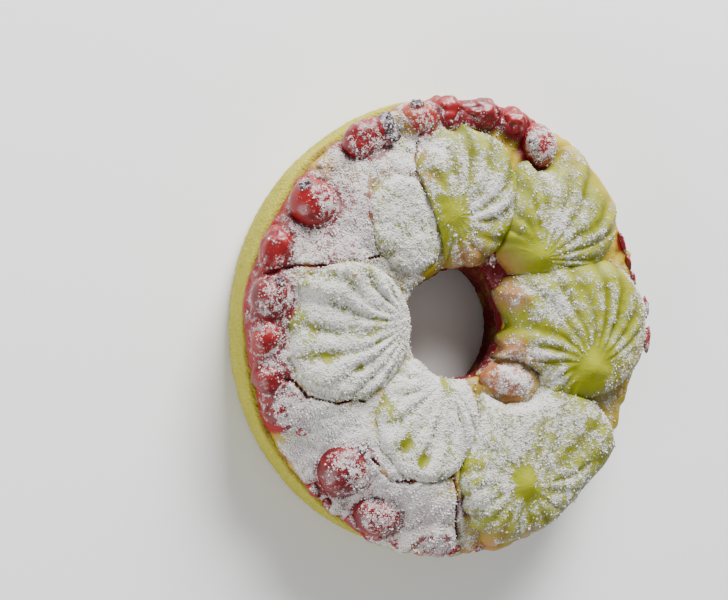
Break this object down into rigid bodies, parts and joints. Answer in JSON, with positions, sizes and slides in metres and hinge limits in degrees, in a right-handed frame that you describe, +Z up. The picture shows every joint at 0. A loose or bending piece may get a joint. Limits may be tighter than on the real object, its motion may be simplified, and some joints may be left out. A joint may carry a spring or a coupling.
{
  "type": "pistachio ring cookie",
  "caption": "Ring-shaped pistachio cookie: a green shortcrust ring with a golden filling, ridged piped rosettes and red currants, dusted with icing sugar.",
  "frame": {"origin": "middle of the box round the cookie, on the underside that it rests on", "axes": "+Z up through the ring, +X to the right and +Y to the top as the picture shows the cookie"},
  "size_m": [0.0799, 0.0796, 0.0184],
  "materials": {
    "crust": "fine dry crumb",
    "cake": "baked crumb under icing sugar",
    "piped_dough": "smooth ridges under icing sugar",
    "red_fruit": "moist skin, part sugared",
    "dried_fruit": "wrinkled skin, part sugared",
    "pink_fruit": "sugared"
  },
  "bodies": {
    "root": {"crust": "crust", "filling": "cake", "rosette_top": "piped_dough", "rosette_upper_right": "piped_dough", "rosette_right": "piped_dough", "rosette_lower_right": "piped_dough", "rosette_lower": "piped_dough", "rosette_left": "piped_dough", "rosette_upper_left": "piped_dough", "currant_upper_left": "red_fruit", "fruit_top_left": "red_fruit", "fruit_top_middle": "red_fruit", "fruit_top_right": "red_fruit", "currant_upper_right": "red_fruit", "currant_rim_high": "red_fruit", "currant_rim_left": "red_fruit", "currant_rim_middle": "red_fruit", "currant_rim_low": "red_fruit", "currant_rim_lower": "red_fruit", "currant_lower_left": "red_fruit", "currant_lower": "red_fruit", "currant_dried": "dried_fruit", "currant_top": "pink_fruit", "fruit_bottom": "pink_fruit", "fruit_by_hole": "pink_fruit"}
  },
  "joints": []
}
